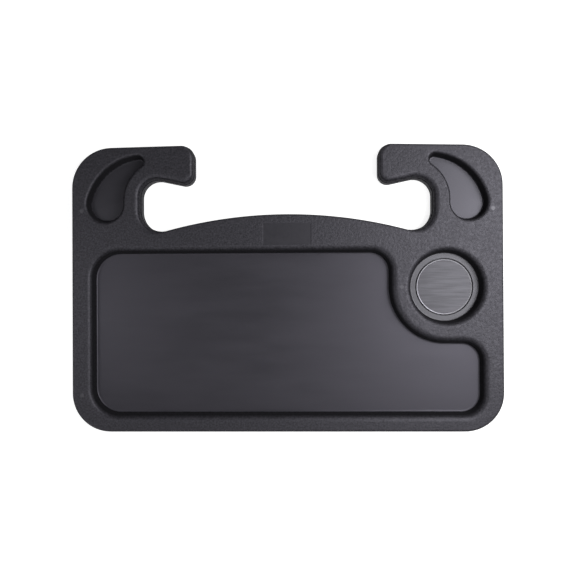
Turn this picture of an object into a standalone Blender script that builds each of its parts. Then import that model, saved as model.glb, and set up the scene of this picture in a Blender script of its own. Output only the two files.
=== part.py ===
"""Steering wheel tray: two moulded shells screwed together, with a disc let into the cup holder.

Units are metres. The tray lies on its flat laptop side with the food side up: +X is to the right,
+Y runs towards the two wheel hooks and +Z leaves the food side. The origin is at the middle of the
footprint, on the surface that the tray lies on.
"""
import math
from collections import namedtuple

import bmesh
import bpy

TURN = 2 * math.pi
QUARTER = math.pi / 2

# Overall size, and the wall that every moulding has
TRAY_WIDTH = 0.420
TRAY_LENGTH = 0.280
TRAY_THICKNESS = 0.022
SKIN = 0.0022
FIT_GAP = 0.0003

# Outline corners
BOTTOM_CORNER_RADIUS = 0.038
TOP_CORNER_RADIUS = 0.040
TOP_EDGE_FALL = 0.0014

# Wheel hooks: a post at each side, an arm reaching inwards, and a tip that hangs from the arm
POST_WIDTH = 0.0676
ARM_WIDTH = 0.0337
HOOK_REACH = 0.0527
OPENING_HEIGHT = 0.0501
OPENING_UPPER_RADIUS = 0.0169
OPENING_LOWER_RADIUS = 0.0202
TIP_DROP = 0.0048
TIP_LOWER_RADIUS = 0.0105
TIP_UPPER_RADIUS = 0.0122
ARC_RISE = 0.0162

# Edges of the front shell: soft inside the hooks, small elsewhere
FRONT_SHELL_HEIGHT = 0.007
OUTER_FILLET = 0.0020
HOOK_FILLET = 0.0055
TIP_FILLET = 0.0038
INNER_FILLET = 0.0004

# Back shell, which stands proud of the front shell at the seam
SEAM_REVEAL = 0.0007
BACK_FILLET = 0.0030
BACK_TAPER = 0.0004
TONGUE_THICKNESS = 0.0012
TONGUE_HEIGHT = 0.0015
TONGUE_ROOT = 0.0020

# Recesses of the food side
WALL_DRAFT = math.radians(6)
RECESS_SIDE_MARGIN = 0.0138
RECESS_BOTTOM_MARGIN = 0.0105
RECESS_TOP_MARGIN = 0.0138
RECESS_CORNER_RADIUS = 0.024
RECESS_ISLAND_RADIUS = 0.018
RECESS_LOBE_RADIUS = 0.017
LOBE_CORNER_SHARE = 0.45
RECESS_RIM_FILLET = 0.0065
RECESS_FOOT_FILLET = 0.0015

# Cup holder, with a pocket for its disc
CUP_SIDE_MARGIN = 0.0149
CUP_TOP_MARGIN = 0.0157
CUP_RADIUS = 0.0333
CUP_RIM_FILLET = 0.0050
CUP_FOOT_FILLET = 0.0008
CUP_BACK_GAP = 0.0012
CUP_LAND = 0.0072
CUP_RING_WIDTH = 0.0052
DISC_THICKNESS = 0.0010
DISC_EDGE = 0.0004
DISC_SIDE_GAP = 0.0006
TAPE_THICKNESS = 0.0008
TAPE_MARGIN = 0.0015

# Teardrop pockets on the hook posts
TEAR_SIDE_MARGIN = 0.0122
TEAR_POST_MARGIN = 0.0138
TEAR_TOP_MARGIN = 0.0072
TEAR_ARM_MARGIN = 0.0091
TEAR_LOWER_FROM_TOP = 0.0570
TEAR_TIP_FROM_OPENING = 0.0024
TEAR_OUTER_RADIUS = 0.0559
TEAR_INNER_RADIUS = 0.0426
TEAR_RIM_FILLET = 0.0030
TEAR_FOOT_FILLET = 0.0008

# Pen groove of the laptop side
PEN_LENGTH = 0.150
PEN_WIDTH = 0.010
PEN_DEPTH = 0.006
PEN_EDGE_MARGIN = 0.0053
PEN_RIM_FILLET = 0.0015
PEN_FOOT_FILLET = 0.0020

# Ribs that hold the work surface up from the back shell
RIB_COUNT = 8
RIB_THICKNESS = 0.0016
RIB_HEIGHT = 0.0053
RIB_MARGIN = 0.012

# Screws, their bosses and wells, and the plugs that close the wells
SCREW_FROM_SIDE = 0.0105
SCREW_UPPER_FROM_TOP = 0.0640
SCREW_LOWER_FROM_BOTTOM = 0.0363
SCREW_LENGTH = 0.012
SHANK_RADIUS = 0.0014
SHANK_POINT = 0.0015
HEAD_RADIUS = 0.0030
HEAD_THICKNESS = 0.0020
HEAD_ROUND = 0.0007
DRIVE_RADIUS = 0.0011
DRIVE_DEPTH = 0.0012
WELL_GAP = 0.0004
WELL_DEPTH = 0.0045
WELL_SEAT = 0.0018
WELL_WALL = 0.0016
BOSS_WALL = 0.0016
BOSS_GRIP = 0.0008
PLUG_THICKNESS = 0.0014
PLUG_CHAMFER = 0.0003

# How finely round shapes are cut
ARC_STEP = math.radians(15)
ARC_CHORD = 0.012
FILLET_STEPS = 3
CIRCLE_SIDES = 12
SHARP_ANGLE = math.radians(30)

HALF_WIDTH = TRAY_WIDTH / 2
HALF_LENGTH = TRAY_LENGTH / 2
SEAM = TRAY_THICKNESS - FRONT_SHELL_HEIGHT
OPENING_SIDE = HALF_WIDTH - POST_WIDTH
OPENING_TOP = HALF_LENGTH - ARM_WIDTH
VALLEY = OPENING_TOP - OPENING_HEIGHT
POCKET_RADIUS = CUP_RADIUS - CUP_RING_WIDTH
POCKET_DEPTH = DISC_THICKNESS + TAPE_THICKNESS + 2 * FIT_GAP
DISC_RADIUS = POCKET_RADIUS - DISC_SIDE_GAP
RECESS_DEPTH = TRAY_THICKNESS - 2 * SKIN - RIB_HEIGHT - FIT_GAP
CUP_DEPTH = TRAY_THICKNESS - 2 * SKIN - CUP_BACK_GAP - POCKET_DEPTH
WELL_RADIUS = HEAD_RADIUS + WELL_GAP
PILOT_RADIUS = SHANK_RADIUS + FIT_GAP
WELL_TOP = WELL_DEPTH + WELL_SEAT

# A peg is a circle that an outline runs round; a negative radius makes a hollow corner
Peg = namedtuple("Peg", "x y radius fillet")
Point = namedtuple("Point", "x y radius heading fillet")


def arc(peg, start, sweep, fillet_in, fillet_out):
    """Points round a peg, with an edge fillet that grows to the peg's own and back again."""
    steps = max(1, math.ceil(abs(sweep) / ARC_STEP), math.ceil(abs(peg.radius * sweep) / ARC_CHORD))
    points = []
    for step in range(steps + 1):
        share = step / steps
        near = fillet_in if share < 0.5 else fillet_out
        blend = abs(2 * share - 1)
        fillet = near * blend + peg.fillet * (1 - blend)
        points.append(Point(peg.x, peg.y, peg.radius, start + sweep * share, fillet))
    return points


def swept(start, end, radius):
    """Angle from one heading to the next, anticlockwise round a full corner, clockwise in a hollow."""
    slack = math.radians(0.01)
    if radius > 0:
        return (end - start + slack) % TURN - slack
    return slack - (start - end + slack) % TURN


def belt(pegs):
    """Outline of a belt that runs anticlockwise round the pegs, each joined to the next by a tangent."""
    headings = []
    for peg, following in zip(pegs, pegs[1:] + pegs[:1]):
        run = following.x - peg.x
        rise = following.y - peg.y
        lean = (following.radius - peg.radius) / math.hypot(run, rise)
        headings.append(math.atan2(rise, run) - math.asin(max(-1, min(1, lean))))
    points = []
    for index, peg in enumerate(pegs):
        before = pegs[index - 1]
        after = pegs[(index + 1) % len(pegs)]
        start = headings[index - 1]
        sweep = swept(start, headings[index], peg.radius)
        points += arc(peg, start, sweep, min(before.fillet, peg.fillet), min(peg.fillet, after.fillet))
    return without_doubles(points)


def place(point, inset):
    """Plan position of an outline point after the outline has moved inwards by the inset."""
    reach = point.radius - inset
    return point.x + reach * math.sin(point.heading), point.y - reach * math.cos(point.heading)


def without_doubles(points):
    """The outline without the points that fall on the one before, as where two arcs touch."""
    kept = []
    for point, before in zip(points, points[-1:] + points[:-1]):
        if math.dist(place(point, 0), place(before, 0)) > FIT_GAP / 10:
            kept.append(point)
    return kept


def circle(x, y, radius, sides):
    """Outline of a full circle."""
    return [Point(x, y, radius, TURN * side / sides, 0) for side in range(sides)]


def mirrored(pegs):
    """The same pegs on the other side of the tray, in the order that keeps the belt anticlockwise."""
    return [peg._replace(x=-peg.x) for peg in reversed(pegs)]


def tray_outline():
    """Outline of the whole tray at the seam, with a hook opening cut into each upper side."""
    tip_x = OPENING_SIDE - HOOK_REACH
    right = [
        Peg(HALF_WIDTH - BOTTOM_CORNER_RADIUS, BOTTOM_CORNER_RADIUS - HALF_LENGTH,
            BOTTOM_CORNER_RADIUS, OUTER_FILLET),
        Peg(HALF_WIDTH - TOP_CORNER_RADIUS, HALF_LENGTH - TOP_EDGE_FALL - TOP_CORNER_RADIUS,
            TOP_CORNER_RADIUS, OUTER_FILLET),
        Peg(tip_x + TIP_UPPER_RADIUS, HALF_LENGTH - TIP_UPPER_RADIUS, TIP_UPPER_RADIUS, TIP_FILLET),
        Peg(tip_x + TIP_LOWER_RADIUS, OPENING_TOP - TIP_DROP + TIP_LOWER_RADIUS,
            TIP_LOWER_RADIUS, HOOK_FILLET),
        Peg(OPENING_SIDE - OPENING_UPPER_RADIUS, OPENING_TOP - OPENING_UPPER_RADIUS,
            -OPENING_UPPER_RADIUS, HOOK_FILLET),
        Peg(OPENING_SIDE - OPENING_LOWER_RADIUS, VALLEY + OPENING_LOWER_RADIUS,
            -OPENING_LOWER_RADIUS, HOOK_FILLET),
    ]
    return belt(right + [middle_peg()] + mirrored(right))


def middle_peg():
    """Arc of the top edge between the hooks, which touches the lower circle of both openings."""
    low_x = OPENING_SIDE - OPENING_LOWER_RADIUS
    rise = ARC_RISE - OPENING_LOWER_RADIUS
    radius = (rise ** 2 + low_x ** 2 - OPENING_LOWER_RADIUS ** 2) / (2 * ARC_RISE)
    return Peg(0, VALLEY + ARC_RISE - radius, radius, OUTER_FILLET)


def main_wall():
    """Width in plan of the main recess's wall."""
    return recess_width(RECESS_DEPTH, RECESS_RIM_FILLET, RECESS_FOOT_FILLET)


def cup_wall():
    """Width in plan of the cup holder's wall."""
    return recess_width(CUP_DEPTH, CUP_RIM_FILLET, CUP_FOOT_FILLET)


def cup_place():
    """Plan position of the cup holder."""
    rim_radius = CUP_RADIUS + cup_wall()
    return HALF_WIDTH - CUP_SIDE_MARGIN - rim_radius, VALLEY - CUP_TOP_MARGIN - rim_radius


def bend_radius():
    """Radius of the main recess's floor edge where it runs round the cup holder."""
    return CUP_RADIUS + cup_wall() + CUP_LAND + main_wall()


def recess_sides():
    """Left, bottom and top edge of the main recess's floor."""
    wall = main_wall()
    left = RECESS_SIDE_MARGIN + wall - HALF_WIDTH
    bottom = RECESS_BOTTOM_MARGIN + wall - HALF_LENGTH
    return left, bottom, VALLEY - RECESS_TOP_MARGIN - wall


def recess_outline():
    """Floor outline of the main recess, which bends round the cup holder."""
    left, bottom, top = recess_sides()
    cup_x, cup_y = cup_place()
    bend = bend_radius()
    lobe_top = cup_y - bend
    lobe_radius = min(RECESS_LOBE_RADIUS, LOBE_CORNER_SHARE * (lobe_top - bottom))
    lobe_x = -left - lobe_radius
    return belt([
        Peg(left + RECESS_CORNER_RADIUS, bottom + RECESS_CORNER_RADIUS, RECESS_CORNER_RADIUS, 0),
        Peg(lobe_x, bottom + lobe_radius, lobe_radius, 0),
        Peg(lobe_x, lobe_top - lobe_radius, lobe_radius, 0),
        Peg(cup_x, cup_y, -bend, 0),
        Peg(cup_x - bend - RECESS_ISLAND_RADIUS, top - RECESS_ISLAND_RADIUS, RECESS_ISLAND_RADIUS, 0),
        Peg(left + RECESS_CORNER_RADIUS, top - RECESS_CORNER_RADIUS, RECESS_CORNER_RADIUS, 0),
    ])


def apex(first, second, from_first, from_second):
    """Point at the given distances from two pegs, to the left of the line from first to second."""
    run = second.x - first.x
    rise = second.y - first.y
    span = math.hypot(run, rise)
    along = (from_first ** 2 - from_second ** 2 + span ** 2) / (2 * span)
    across = math.sqrt(from_first ** 2 - along ** 2)
    x = first.x + (run * along - rise * across) / span
    y = first.y + (rise * along + run * across) / span
    return x, y


def bearing(start, end):
    """Direction from one peg to another."""
    return math.atan2(end.y - start.y, end.x - start.x)


def tear_wall():
    """Width in plan of a teardrop pocket's wall."""
    return recess_width(RECESS_DEPTH, TEAR_RIM_FILLET, TEAR_FOOT_FILLET)


def tear_outline(side):
    """Floor outline of a teardrop pocket: two end circles joined by an outer and an inner arc."""
    wall = tear_wall()
    lower_rim = (POST_WIDTH - TEAR_SIDE_MARGIN - TEAR_POST_MARGIN) / 2
    upper_rim = (ARM_WIDTH - TEAR_TOP_MARGIN - TEAR_ARM_MARGIN) / 2
    lower = Peg(HALF_WIDTH - TEAR_SIDE_MARGIN - lower_rim, HALF_LENGTH - TEAR_LOWER_FROM_TOP,
                lower_rim - wall, 0)
    upper = Peg(OPENING_SIDE + TEAR_TIP_FROM_OPENING, HALF_LENGTH - TEAR_TOP_MARGIN - upper_rim,
                upper_rim - wall, 0)
    outer = Peg(*apex(lower, upper, TEAR_OUTER_RADIUS - lower.radius, TEAR_OUTER_RADIUS - upper.radius),
                TEAR_OUTER_RADIUS, 0)
    inner = Peg(*apex(lower, upper, TEAR_INNER_RADIUS + lower.radius, TEAR_INNER_RADIUS + upper.radius),
                -TEAR_INNER_RADIUS, 0)
    headings = [bearing(outer, lower), bearing(outer, upper), bearing(upper, inner), bearing(lower, inner)]
    headings = [heading + QUARTER for heading in headings]
    points = []
    for index, peg in enumerate((lower, outer, upper, inner)):
        start = headings[index - 1]
        points += arc(peg, start, swept(start, headings[index], peg.radius), 0, 0)
    points = without_doubles(points)
    if side < 0:
        points = [point._replace(x=-point.x, heading=-point.heading) for point in reversed(points)]
    return points


def pen_outline():
    """Floor outline of the pen groove, a slot with round ends that keeps clear of the top edge."""
    end_radius = PEN_WIDTH / 2
    arc_peg = middle_peg()
    edge = arc_peg.y + math.sqrt(arc_peg.radius ** 2 - (PEN_LENGTH / 2) ** 2)
    wall = recess_width(PEN_DEPTH, PEN_RIM_FILLET, PEN_FOOT_FILLET)
    y = edge - PEN_EDGE_MARGIN - wall - end_radius
    x = PEN_LENGTH / 2 - end_radius
    return belt([Peg(-x, y, end_radius, 0), Peg(x, y, end_radius, 0)])


def recess_levels(depth, rim, foot, skin):
    """Outset and depth of each ring of a recess wall, from its rim down to the edge of its floor.

    A skin moves the wall away from the recess, which gives the hidden side of the same wall.
    """
    lean_sine = math.sin(WALL_DRAFT)
    straight = depth - (rim + foot) * (1 - lean_sine)
    width = (rim + foot) * math.cos(WALL_DRAFT) + straight * math.tan(WALL_DRAFT)
    bend = max(rim - skin, INNER_FILLET)
    start = width - rim + skin + bend
    levels = []
    for step in range(FILLET_STEPS + 1):
        angle = (QUARTER - WALL_DRAFT) * step / FILLET_STEPS
        levels.append((start - bend * math.sin(angle), skin + bend - bend * math.cos(angle)))
    for step in range(FILLET_STEPS + 1):
        angle = (QUARTER - WALL_DRAFT) * (1 - step / FILLET_STEPS)
        levels.append(((foot + skin) * math.sin(angle), depth - foot + (foot + skin) * math.cos(angle)))
    return levels


def recess_width(depth, rim, foot):
    """Distance in plan from a recess's rim to the edge of its floor."""
    return recess_levels(depth, rim, foot, 0)[0][0]


def loft(bm, outline, levels):
    """Extrude an outline through its levels, each an inset and a height, and return both end loops."""
    order = bm.verts.layers.int.get("order") or bm.verts.layers.int.new("order")
    ring = []
    for index, point in enumerate(outline):
        inset, height = levels[0](point.fillet)
        vert = bm.verts.new((*place(point, inset), height))
        vert[order] = index
        ring.append(vert)
    first = [bm.edges.new(pair) for pair in zip(ring, ring[1:] + ring[:1])]
    last = first
    for level in levels[1:]:
        grown = bmesh.ops.extrude_edge_only(bm, edges=last)["geom"]
        last = [item for item in grown if isinstance(item, bmesh.types.BMEdge)]
        last = [edge for edge in last if len(edge.link_faces) == 1]
        for vert in {vert for edge in last for vert in edge.verts}:
            point = outline[vert[order]]
            inset, height = level(point.fillet)
            vert.co = (*place(point, inset), height)
    return first, last


def fixed(inset, height):
    """A level that is the same all round the outline."""
    return lambda fillet: (inset, height)


def cap(bm, edges):
    """Fill a flat region; loops inside it stay open."""
    bmesh.ops.triangle_fill(bm, use_beauty=True, edges=edges)


def sunk(levels, face, direction):
    """Recess levels as lofting levels, measured from a face; direction is +1 where the face is up."""
    return [fixed(-outset, face - direction * depth) for outset, depth in levels]


def pocket(bm, outline, levels, face, direction):
    """Loft a recess to its floor and close it, and return its open rim."""
    rim, floor = loft(bm, outline, sunk(levels, face, direction))
    cap(bm, floor)
    return rim


def plastic(name, color, roughness, metallic=0.0):
    """Principled material in one colour."""
    material = bpy.data.materials.new(name)
    material.use_nodes = True
    shader = material.node_tree.nodes["Principled BSDF"]
    shader.inputs["Base Color"].default_value = (*color, 1.0)
    shader.inputs["Roughness"].default_value = roughness
    shader.inputs["Metallic"].default_value = metallic
    return material


def finished_mesh(bm, name, material=None):
    """Mesh with its faces pointing out, smooth but for its real edges."""
    bmesh.ops.recalc_face_normals(bm, faces=bm.faces)
    mesh = bpy.data.meshes.new(name)
    bm.to_mesh(mesh)
    bm.free()
    mesh.shade_smooth()
    mesh.set_sharp_from_angle(angle=SHARP_ANGLE)
    if material:
        mesh.materials.append(material)
    return mesh


def add_piece(name, mesh, place=(0, 0)):
    """Named object of the tray, standing at a place in plan."""
    piece = bpy.data.objects.new(name, mesh)
    bpy.context.scene.collection.objects.link(piece)
    piece.parent = bpy.data.objects["tray"]
    piece.location = (*place, 0)
    return piece


def screw_places():
    """Plan position of each screw: at both upper sides, both lower corners and beside the cup."""
    side = HALF_WIDTH - SCREW_FROM_SIDE
    upper = HALF_LENGTH - SCREW_UPPER_FROM_TOP
    lower = SCREW_LOWER_FROM_BOTTOM - HALF_LENGTH
    cup_x, cup_y = cup_place()
    island = cup_x - CUP_RADIUS - cup_wall() - CUP_LAND / 2
    return {
        "upper_left": (-side, upper),
        "upper_right": (side, upper),
        "lower_left": (-side, lower),
        "lower_right": (side, lower),
        "island": (island, cup_y),
    }


def front_edge_levels():
    """Levels of the front shell's edge: down its outer fillet, under the rim and up its inner side."""
    levels = []
    for step in range(FILLET_STEPS + 1):
        sine = math.sin(QUARTER * step / FILLET_STEPS)
        cosine = math.cos(QUARTER * step / FILLET_STEPS)
        levels.append(lambda fillet, sine=sine, cosine=cosine: (
            SEAM_REVEAL + fillet * (1 - sine), TRAY_THICKNESS - fillet * (1 - cosine)))
    levels.append(fixed(SEAM_REVEAL, SEAM + FIT_GAP))
    levels.append(fixed(SEAM_REVEAL + SKIN, SEAM + FIT_GAP))
    for step in range(FILLET_STEPS + 1):
        sine = math.sin(QUARTER * step / FILLET_STEPS)
        cosine = math.cos(QUARTER * step / FILLET_STEPS)
        levels.append(lambda fillet, sine=sine, cosine=cosine: (
            SEAM_REVEAL + SKIN + max(fillet - SKIN, INNER_FILLET) * (1 - cosine),
            TRAY_THICKNESS - SKIN - max(fillet - SKIN, INNER_FILLET) * (1 - sine)))
    return levels


def cup_levels(skin):
    """Levels of the cup holder: its wall, its ring floor and the pocket under the disc."""
    levels = recess_levels(CUP_DEPTH, CUP_RIM_FILLET, CUP_FOOT_FILLET, skin)
    outset = POCKET_RADIUS + skin - CUP_RADIUS
    levels.append((outset, CUP_DEPTH + skin))
    levels.append((outset, CUP_DEPTH + POCKET_DEPTH + skin))
    return levels


def build_front_shell(material):
    """Front shell: the food side with its recesses, hollow behind, and bosses for the screws."""
    bm = bmesh.new()
    face, under = loft(bm, tray_outline(), front_edge_levels())
    cup = circle(*cup_place(), CUP_RADIUS, 2 * CIRCLE_SIDES)
    for skin, border in ((0, face), (SKIN, under)):
        loops = list(border)
        main = recess_levels(RECESS_DEPTH, RECESS_RIM_FILLET, RECESS_FOOT_FILLET, skin)
        loops += pocket(bm, recess_outline(), main, TRAY_THICKNESS, 1)
        loops += pocket(bm, cup, cup_levels(skin), TRAY_THICKNESS, 1)
        tear = recess_levels(RECESS_DEPTH, TEAR_RIM_FILLET, TEAR_FOOT_FILLET, skin)
        for side in (-1, 1):
            loops += pocket(bm, tear_outline(side), tear, TRAY_THICKNESS, 1)
        cap(bm, loops)
    shell = add_piece("front_shell", finished_mesh(bm, "front_shell", material))
    bottom = WELL_TOP + FIT_GAP
    hole_top = WELL_DEPTH - FIT_GAP + SCREW_LENGTH + FIT_GAP
    posts = rods("boss_posts", PILOT_RADIUS + BOSS_WALL, bottom, TRAY_THICKNESS - SKIN + BOSS_GRIP)
    pilots = rods("boss_pilots", PILOT_RADIUS, bottom - SKIN, hole_top)
    combine(shell, posts, "UNION")
    combine(shell, pilots, "DIFFERENCE")
    return shell


def rods(name, radius, low, high):
    """Guides for a Boolean: an upright rod at every screw."""
    bm = bmesh.new()
    for x, y in screw_places().values():
        turned(bm, x, y, [(radius, low), (radius, high)], CIRCLE_SIDES)
    guide = add_piece(name, finished_mesh(bm, name))
    guide.hide_render = True
    guide.display_type = "WIRE"
    return guide


def combine(piece, guide, operation):
    """Join a guide to a piece, or cut it out, with a Boolean that stays live."""
    modifier = piece.modifiers.new(guide.name, "BOOLEAN")
    modifier.operation = operation
    modifier.solver = "EXACT"
    modifier.object = guide


def back_edge_levels():
    """Levels of the back shell's edge: up its outer side, over the tongue and down its inner side."""
    levels = []
    for step in range(FILLET_STEPS + 1):
        angle = QUARTER * step / FILLET_STEPS
        levels.append(fixed(BACK_TAPER + BACK_FILLET * (1 - math.sin(angle)),
                            BACK_FILLET * (1 - math.cos(angle))))
    tongue = SEAM_REVEAL + SKIN + FIT_GAP
    root = SEAM - TONGUE_ROOT
    levels.append(fixed(0, SEAM))
    levels.append(fixed(tongue, SEAM))
    levels.append(fixed(tongue, SEAM + TONGUE_HEIGHT))
    levels.append(fixed(tongue + TONGUE_THICKNESS, SEAM + TONGUE_HEIGHT))
    levels.append(fixed(tongue + TONGUE_THICKNESS, root))
    levels.append(fixed(SKIN, root - (tongue + TONGUE_THICKNESS - SKIN)))
    inner = max(BACK_FILLET - SKIN, INNER_FILLET)
    for step in range(FILLET_STEPS + 1):
        angle = QUARTER * step / FILLET_STEPS
        levels.append(fixed(BACK_TAPER + SKIN + inner * (1 - math.cos(angle)),
                            SKIN + inner * (1 - math.sin(angle))))
    return levels


def well_levels():
    """Levels of a screw well: up to its seat, through the screw hole and down the outside."""
    return [
        fixed(-WELL_RADIUS, 0),
        fixed(-WELL_RADIUS, WELL_DEPTH),
        fixed(-PILOT_RADIUS, WELL_DEPTH),
        fixed(-PILOT_RADIUS, WELL_TOP),
        fixed(-WELL_RADIUS - WELL_WALL, WELL_TOP),
        fixed(-WELL_RADIUS - WELL_WALL, SKIN),
    ]


def rib_outlines():
    """Plan outlines of the ribs under the wide part of the main recess."""
    left, bottom, top = recess_sides()
    left += RIB_MARGIN
    bottom += RIB_MARGIN
    top -= RIB_MARGIN
    right = cup_place()[0] - bend_radius() - RIB_MARGIN
    half = RIB_THICKNESS / 2
    outlines = []
    for index in range(RIB_COUNT):
        x = left + (right - left) * index / (RIB_COUNT - 1)
        corners = [(x - half, bottom), (x + half, bottom), (x + half, top), (x - half, top)]
        outlines.append([Point(*corner, 0, 0, 0) for corner in corners])
    return outlines


def build_back_shell(material):
    """Back shell: the laptop side with its pen groove, screw wells, ribs and edge tongue."""
    bm = bmesh.new()
    face, under = loft(bm, tray_outline(), back_edge_levels())
    face = list(face)
    under = list(under)
    for x, y in screw_places().values():
        mouth, foot = loft(bm, circle(x, y, 0, CIRCLE_SIDES), well_levels())
        face += mouth
        under += foot
    for skin, border in ((0, face), (SKIN, under)):
        border += pocket(bm, pen_outline(), recess_levels(PEN_DEPTH, PEN_RIM_FILLET, PEN_FOOT_FILLET, skin),
                         0, -1)
    for outline in rib_outlines():
        foot, crest = loft(bm, outline, [fixed(0, SKIN), fixed(0, SKIN + RIB_HEIGHT)])
        cap(bm, crest)
        under += foot
    cap(bm, face)
    cap(bm, under)
    return add_piece("back_shell", finished_mesh(bm, "back_shell", material))


def turned(bm, x, y, profile, sides):
    """Close a turned solid whose profile gives a radius and a height at each ring."""
    first, last = loft(bm, circle(x, y, 0, sides), [fixed(-radius, height) for radius, height in profile])
    cap(bm, first)
    cap(bm, last)


def add_copies(name, profile, material):
    """The same turned piece at every screw, each copy named after its place."""
    bm = bmesh.new()
    turned(bm, 0, 0, profile, CIRCLE_SIDES)
    mesh = finished_mesh(bm, name, material)
    for place_name, spot in screw_places().items():
        add_piece(f"{name}_{place_name}", mesh, spot)


def build_cup_disc(material):
    """Thin disc let into the floor of the cup holder, level with the ring round it."""
    top = TRAY_THICKNESS - CUP_DEPTH
    profile = [
        (DISC_RADIUS, top - DISC_THICKNESS),
        (DISC_RADIUS, top - DISC_EDGE),
        (DISC_RADIUS - DISC_EDGE, top),
    ]
    bm = bmesh.new()
    turned(bm, 0, 0, profile, 3 * CIRCLE_SIDES)
    return add_piece("cup_disc", finished_mesh(bm, "cup_disc", material), cup_place())


def build_disc_tape(material):
    """Round of double-sided foam tape that holds the disc in its pocket."""
    floor = TRAY_THICKNESS - CUP_DEPTH - POCKET_DEPTH + FIT_GAP
    radius = DISC_RADIUS - TAPE_MARGIN
    bm = bmesh.new()
    turned(bm, 0, 0, [(radius, floor), (radius, floor + TAPE_THICKNESS)], 2 * CIRCLE_SIDES)
    return add_piece("disc_tape", finished_mesh(bm, "disc_tape", material), cup_place())


def build_screws(material):
    """Self-tapping screws, driven from the back into the front shell's bosses."""
    seat = WELL_DEPTH - FIT_GAP
    head = seat - HEAD_THICKNESS
    tip = seat + SCREW_LENGTH - FIT_GAP
    profile = [
        (DRIVE_RADIUS, head + DRIVE_DEPTH),
        (DRIVE_RADIUS, head),
        (HEAD_RADIUS - HEAD_ROUND, head),
        (HEAD_RADIUS, head + HEAD_ROUND),
        (HEAD_RADIUS, seat),
        (SHANK_RADIUS, seat),
        (SHANK_RADIUS, tip - SHANK_POINT),
        (SHANK_RADIUS / 2, tip),
    ]
    add_copies("screw", profile, material)


def build_plugs(material):
    """Plugs that close the screw wells just below the laptop side."""
    radius = WELL_RADIUS - FIT_GAP
    profile = [
        (radius - PLUG_CHAMFER, FIT_GAP),
        (radius, FIT_GAP + PLUG_CHAMFER),
        (radius, FIT_GAP + PLUG_THICKNESS),
    ]
    add_copies("plug", profile, material)


def main():
    for leftover in list(bpy.data.objects):
        bpy.data.objects.remove(leftover, do_unlink=True)
    tray = bpy.data.objects.new("tray", None)
    bpy.context.scene.collection.objects.link(tray)
    charcoal = (0.040, 0.038, 0.044)
    build_front_shell(plastic("grained_abs", charcoal, 0.55))
    build_back_shell(plastic("back_abs", charcoal, 0.60))
    build_cup_disc(plastic("disc_plastic", (0.085, 0.083, 0.092), 0.40))
    build_disc_tape(plastic("foam_tape", (0.60, 0.60, 0.58), 0.90))
    build_screws(plastic("zinc_screw", (0.55, 0.55, 0.56), 0.35, 1.0))
    build_plugs(plastic("plug_abs", charcoal, 0.60))


main()
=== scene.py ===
"""Looks of the steering wheel tray: fine shells, disc, fasteners, finishes and studio.

Every length is in metres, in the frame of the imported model: +X to the right seen from the food
side, +Y towards the wheel hooks, +Z up out of the food side, with the laptop side on the floor.
"""
import logging
import math
from collections.abc import Sequence
from dataclasses import dataclass, replace
from enum import Enum

import bmesh
import bpy
from bmesh.types import BMEdge, BMesh, BMFace, BMVert
from mathutils import Matrix, Vector


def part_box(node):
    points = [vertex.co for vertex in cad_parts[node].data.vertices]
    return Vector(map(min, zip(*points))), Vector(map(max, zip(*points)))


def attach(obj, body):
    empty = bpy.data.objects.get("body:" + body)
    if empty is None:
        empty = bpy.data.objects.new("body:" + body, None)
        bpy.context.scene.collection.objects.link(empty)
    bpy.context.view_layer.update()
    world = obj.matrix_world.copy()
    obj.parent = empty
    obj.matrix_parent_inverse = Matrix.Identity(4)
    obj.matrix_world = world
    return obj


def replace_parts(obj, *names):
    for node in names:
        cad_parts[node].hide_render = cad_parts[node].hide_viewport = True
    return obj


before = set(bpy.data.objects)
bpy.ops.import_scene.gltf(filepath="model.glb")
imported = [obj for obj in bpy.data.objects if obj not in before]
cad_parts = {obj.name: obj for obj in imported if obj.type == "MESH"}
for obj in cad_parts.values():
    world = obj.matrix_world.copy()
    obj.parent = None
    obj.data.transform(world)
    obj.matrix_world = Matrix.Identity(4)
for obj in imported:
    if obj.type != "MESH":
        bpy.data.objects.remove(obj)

logging.basicConfig(level=logging.INFO, format="%(name)s: %(message)s")
log = logging.getLogger("tray")

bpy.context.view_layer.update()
MM = 0.001
QUARTER = math.pi / 2
FULL_TURN = 2 * math.pi
SLACK = math.radians(0.01)  # a turn may fall short of nothing by this much
TOUCHING = 0.02 * MM  # points nearer than this become one
UNIT_SQUARE = 0.5  # the size that makes a grid one metre across
NOISE_LOW = 0.3  # noise mostly keeps to the range from this
NOISE_HIGH = 0.7  # to this
MIX_FIRST = 6  # the Mix node's first colour input
MIX_SECOND = 7  # its second one
MIX_RESULT = 2  # its colour output
CHARCOAL = (0.0165, 0.0158, 0.0190)
# strength of the painted sheen over the sink mark of each marked screw boss
MARK_STRENGTHS = {"upper_left": 0.3, "upper_right": 0.9, "lower_left": 0.25, "island": 0.35}

Ring = list[BMEdge]
Profile = list[tuple[float, float]]
Triple = tuple[float, float, float]
Color = Triple
Socket = bpy.types.NodeSocket
Value = float | Socket
Marks = tuple[tuple[Vector, float], ...]


class Zone(Enum):
    """Finish zones of a shell, in the order of its material slots."""

    GRAIN = 0  # the grained faces
    WALL = 1  # walls of the main recess, the cup holder and the pen groove
    SATIN = 2  # floors of the main recess and the pen groove
    POLISHED = 3  # floors of the teardrops
    RING = 4  # ring floor of the cup holder
    EDGE = 5  # outer edges, and the foot of a pocket's wall
    TEAR_WALL = 6  # walls of the teardrops


class DiscZone(Enum):
    """Finish zones of the cup holder's disc, in the order of its material slots."""

    FACE = 0
    BEAD = 1


@dataclass(frozen=True)
class Peg:
    """Circle that an outline runs round like a belt; a negative radius makes a hollow corner."""

    x: float
    y: float
    radius: float
    fillet: float = 0.0

    def mirrored(self) -> "Peg":
        """The same peg on the other side of the tray."""
        return replace(self, x=-self.x)


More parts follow.
